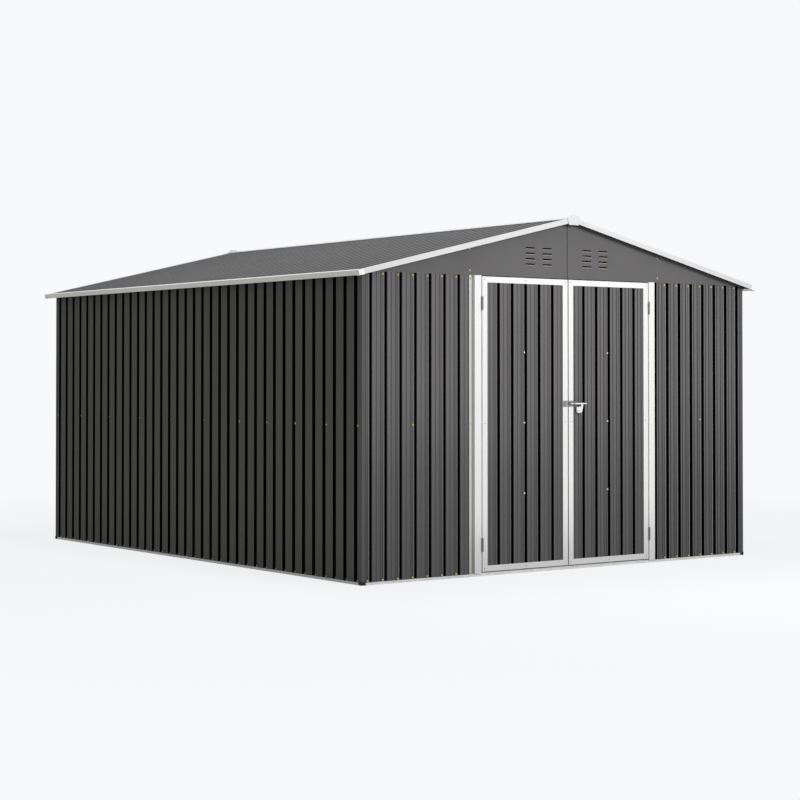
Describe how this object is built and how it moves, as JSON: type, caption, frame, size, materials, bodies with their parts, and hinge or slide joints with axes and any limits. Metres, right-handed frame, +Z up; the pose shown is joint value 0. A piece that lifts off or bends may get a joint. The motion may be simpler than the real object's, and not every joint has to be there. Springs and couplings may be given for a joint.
{
  "type": "metal storage shed",
  "caption": "Gabled garden shed of ribbed steel sheet on a folded frame, with white trim, gable louvres and outward double doors held by a slide bolt.",
  "frame": {"origin": "middle of the footprint at ground level", "axes": "+X to the right along the front, +Y from the front to the back, +Z up"},
  "size_m": [3.036, 3.7358, 2.0396],
  "materials": {
    "walls_charcoal": "satin charcoal paint on ribbed sheet",
    "roof_charcoal": "satin charcoal paint on ribbed roof sheet",
    "trim_white": "satin white paint",
    "posts_dark": "satin dark grey paint",
    "steel_zinc": "galvanised",
    "hinge_grey": "zinc plated",
    "bolt_bright": "bright zinc plated"
  },
  "bodies": {
    "shed": {"base_rail_front": "steel_zinc", "base_rail_back": "steel_zinc", "base_rail_left": "steel_zinc", "base_rail_right": "steel_zinc", "door_sill": "steel_zinc", "corner_post_front_left": "posts_dark", "corner_post_front_right": "posts_dark", "corner_post_back_left": "posts_dark", "corner_post_back_right": "posts_dark", "corner_feet": "posts_dark", "left_wall": "walls_charcoal", "right_wall": "walls_charcoal", "back_wall": "walls_charcoal", "front_wall_left": "walls_charcoal", "front_wall_right": "walls_charcoal", "mid_rails": "steel_zinc", "top_rail_front": "steel_zinc", "top_rail_back": "steel_zinc", "top_rail_left": "steel_zinc", "top_rail_right": "steel_zinc", "door_jamb_left": "trim_white", "door_jamb_right": "trim_white", "gable_front_left": "walls_charcoal", "gable_front_right": "walls_charcoal", "gable_back_left": "walls_charcoal", "gable_back_right": "walls_charcoal", "roof_left": "roof_charcoal", "roof_right": "roof_charcoal", "ridge_beam": "steel_zinc", "purlins": "steel_zinc", "ridge_cap": "trim_white", "ridge_end_plates": "trim_white", "eave_trim_left": "trim_white", "eave_trim_right": "trim_white", "verge_trim_front_left": "trim_white", "verge_trim_front_right": "trim_white", "verge_trim_back_left": "trim_white", "verge_trim_back_right": "trim_white", "eave_corner_caps": "trim_white", "jamb_hinges": "hinge_grey"},
    "left_door": {"left_door_frame": "trim_white", "left_door_panel": "walls_charcoal", "left_door_brace": "steel_zinc", "left_door_hinges": "hinge_grey", "bolt_keeper": "bolt_bright"},
    "right_door": {"right_door_frame": "trim_white", "right_door_panel": "walls_charcoal", "right_door_brace": "steel_zinc", "right_door_hinges": "hinge_grey", "bolt_bracket": "bolt_bright"},
    "bolt": {"slide_bolt": "bolt_bright"}
  },
  "joints": [
    {"name": "left_door_swing", "type": "hinge", "parent": "shed", "child": "left_door", "pos_m": [-0.64025, -1.82, 0.176], "axis": [0, 0, -1], "range_deg": [0, 165]},
    {"name": "right_door_swing", "type": "hinge", "parent": "shed", "child": "right_door", "pos_m": [0.64025, -1.82, 0.176], "axis": [0, 0, 1], "range_deg": [0, 165]},
    {"name": "bolt_slide", "type": "slide", "parent": "right_door", "child": "bolt", "axis": [-1, 0, 0], "range_m": [0, 0.046]}
  ]
}
